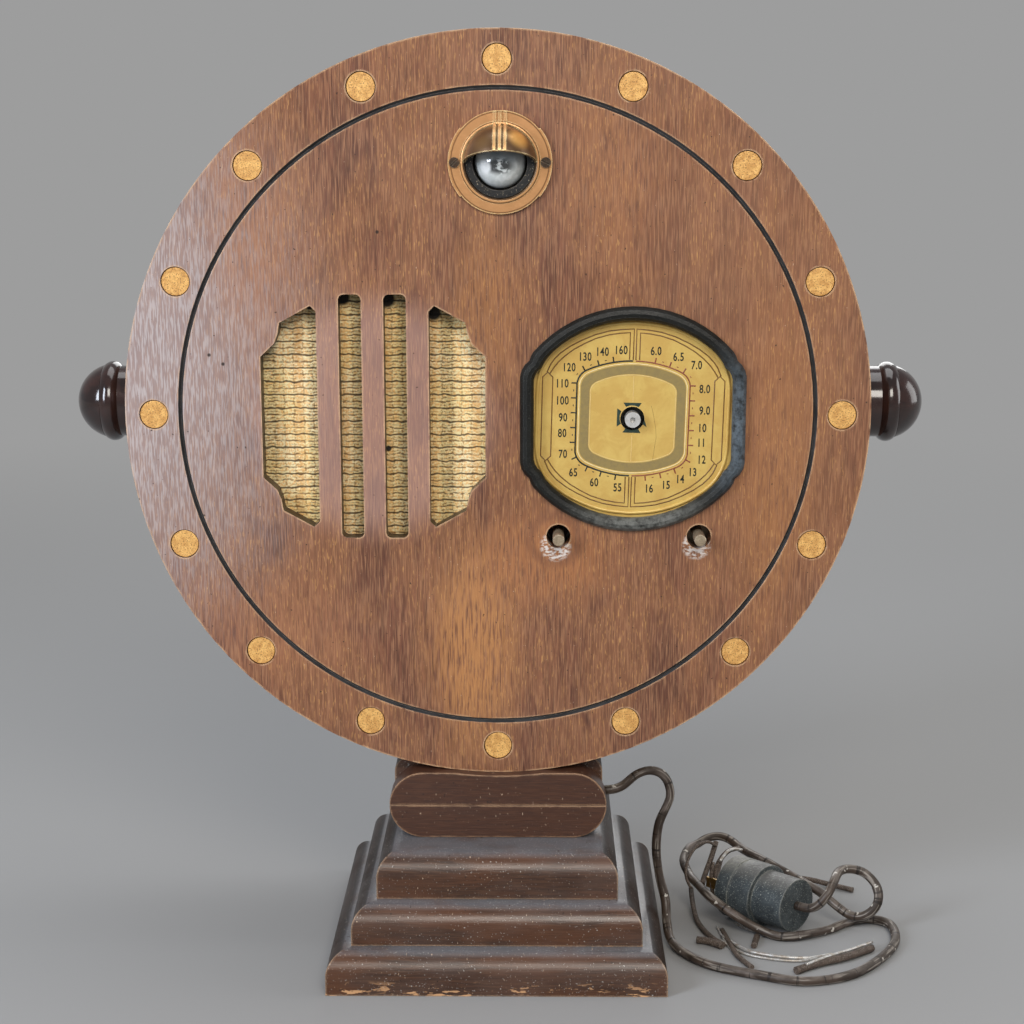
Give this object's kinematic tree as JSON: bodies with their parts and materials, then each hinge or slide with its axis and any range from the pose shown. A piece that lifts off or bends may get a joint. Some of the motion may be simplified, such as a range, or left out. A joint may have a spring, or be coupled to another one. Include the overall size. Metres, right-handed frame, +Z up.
{
  "type": "radio receiver",
  "caption": "Table radio with a round wooden front on a stepped pedestal: slotted speaker grille, framed gold dial, bare control shafts, hooded tuning eye, open back, mains cord and plug.",
  "frame": {"origin": "centre of the pedestal's underside", "axes": "+Z up, +X the viewer's right, the front faces -Y"},
  "size_m": [0.475, 0.197, 0.507],
  "materials": {
    "cabinet_wood": "old clear lacquer over walnut-brown wood, satin, worn",
    "pedestal_wood": "dark brown lacquer, dusty and chipped at the edges",
    "plain_wood": "bare unfinished softwood and ply, dusty",
    "gold_paint": "wood plugs with mottled old gold paint",
    "bakelite": "dark brown phenolic, polished",
    "phenolic_sheet": "brown paper phenolic, matt",
    "steel_screws": "dull, darkened with age",
    "plated_steel": "cadmium-plated sheet, dull and stained",
    "grille_fabric": "gold and brown woven grille cloth",
    "speaker_paint": "black enamel, dusty",
    "cone_paper": "felted dark paper",
    "coil_winding": "enamelled wire under a varnished wrap",
    "core_iron": "dark painted laminations and covers",
    "bezel_black": "worn black paint on a half-round moulding",
    "dial_gold": "gold lacquered plate with brown and black printing",
    "shaft_metal": "bare shaft, dull, partly worn to grey",
    "bushing_brass": "turned, dull",
    "spindle_metal": "bare white metal, machined end",
    "plate_aluminium": "stamped plates, dull",
    "white_ceramic": "unglazed insulator rods",
    "can_metal": "drawn cans, satin",
    "tube_glass": "clear blown glass",
    "tube_metal": "carbonised plates",
    "antique_brass": "antique brass, browned in the hollows, bright on the edges",
    "cord_rubber": "old cracked brown-grey rubber",
    "plug_rubber": "dark grey rubber, dusty"
  },
  "bodies": {
    "cabinet": {"base_tier_bottom": "pedestal_wood", "base_tier_middle": "pedestal_wood", "base_tier_top": "pedestal_wood", "base_screws": "steel_screws", "front_boss_lower": "pedestal_wood", "front_boss_upper": "pedestal_wood", "neck_block": "pedestal_wood", "neck_screws": "steel_screws", "front_panel": "cabinet_wood", "rim_plugs": "gold_paint", "drum_shell": "cabinet_wood", "glue_blocks": "plain_wood", "side_knob_left": "bakelite", "side_knob_right": "bakelite", "side_knob_screws": "steel_screws", "grille_cloth": "grille_fabric", "baffle_board": "plain_wood", "baffle_screws": "steel_screws", "speaker_basket": "speaker_paint", "speaker_cone": "cone_paper", "speaker_yoke": "speaker_paint", "field_coil": "coil_winding", "speaker_bolts": "steel_screws", "output_transformer": "core_iron", "dial_bezel": "bezel_black", "dial_pan": "plated_steel", "dial_scale": "dial_gold", "chassis_shelf": "plain_wood", "chassis": "plated_steel", "chassis_bolts": "steel_screws", "front_bracket": "plated_steel", "tuning_bushing": "bushing_brass", "volume_control": "phenolic_sheet", "gang_frame": "plated_steel", "gang_stand": "plated_steel", "stator_plates": "plate_aluminium", "stator_rods": "white_ceramic", "power_transformer": "core_iron", "coil_cans": "can_metal", "filter_can": "can_metal", "tube_sockets": "phenolic_sheet", "tube_bases": "bakelite", "tube_glass": "tube_glass", "tube_plates": "tube_metal", "eye_escutcheon": "antique_brass", "eye_sleeve": "plug_rubber", "eye_screws": "steel_screws", "eye_tube": "tube_glass", "eye_base": "bakelite", "eye_bracket": "plated_steel", "eye_cable": "cord_rubber", "power_cord": "cord_rubber", "plug_body": "plug_rubber", "plug_blades": "bushing_brass"},
    "rotor": {"spindle": "spindle_metal", "drive_disc": "plated_steel", "rotor_plates": "plate_aluminium"},
    "tuning": {"tuning_shaft": "shaft_metal"},
    "volume": {"volume_shaft": "shaft_metal"}
  },
  "joints": [
    {"name": "dial_spindle_turn", "type": "hinge", "parent": "cabinet", "child": "rotor", "pos_m": [0.0725, -0.035, 0.3045], "axis": [0, 1, 0], "range_deg": [-90, 90]},
    {"name": "tuning_shaft_turn", "type": "hinge", "parent": "cabinet", "child": "tuning", "pos_m": [0.1092, -0.035, 0.2408], "axis": [0, 1, 0], "range_deg": [-396, 396]},
    {"name": "volume_shaft_turn", "type": "hinge", "parent": "cabinet", "child": "volume", "pos_m": [0.033, -0.035, 0.2408], "axis": [0, 1, 0], "range_deg": [-140, 140]}
  ],
  "couplings": [
    {"joint": "tuning_shaft_turn", "follows": "dial_spindle_turn", "ratio": -4.4}
  ]
}
